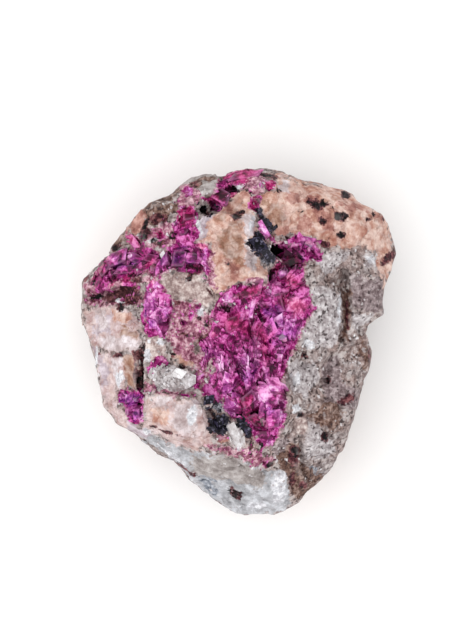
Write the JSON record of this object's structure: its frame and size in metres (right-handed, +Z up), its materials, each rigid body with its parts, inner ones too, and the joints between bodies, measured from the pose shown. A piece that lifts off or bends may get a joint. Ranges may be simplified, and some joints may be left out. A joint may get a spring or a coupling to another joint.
{
  "type": "rough pink cobalt calcite stone",
  "caption": "Rough chunk of grey host rock with peach calcite, magenta crystals and dark specks, lying on a flat broken face with its crystal face up.",
  "frame": {"origin": "middle of the bounding box, at the height of the flat face that the stone lies on", "axes": "+Z up out of the crystal face; +Y along the stone's longest extent, towards its wide end; +X to the right as the crystal face is seen from above"},
  "size_m": [0.0696, 0.0768, 0.0384],
  "materials": {
    "host_rock": "rough broken grey rock with fine dark grains",
    "peach_calcite": "satin cleavage faces, cream to salmon",
    "magenta_crystal": "glossy small crystals, magenta to pale pink",
    "dark_crystal": "glossy black crystals",
    "white_quartz": "sparkling white crystals"
  },
  "bodies": {
    "root": {"stone": "host_rock"}
  },
  "joints": []
}
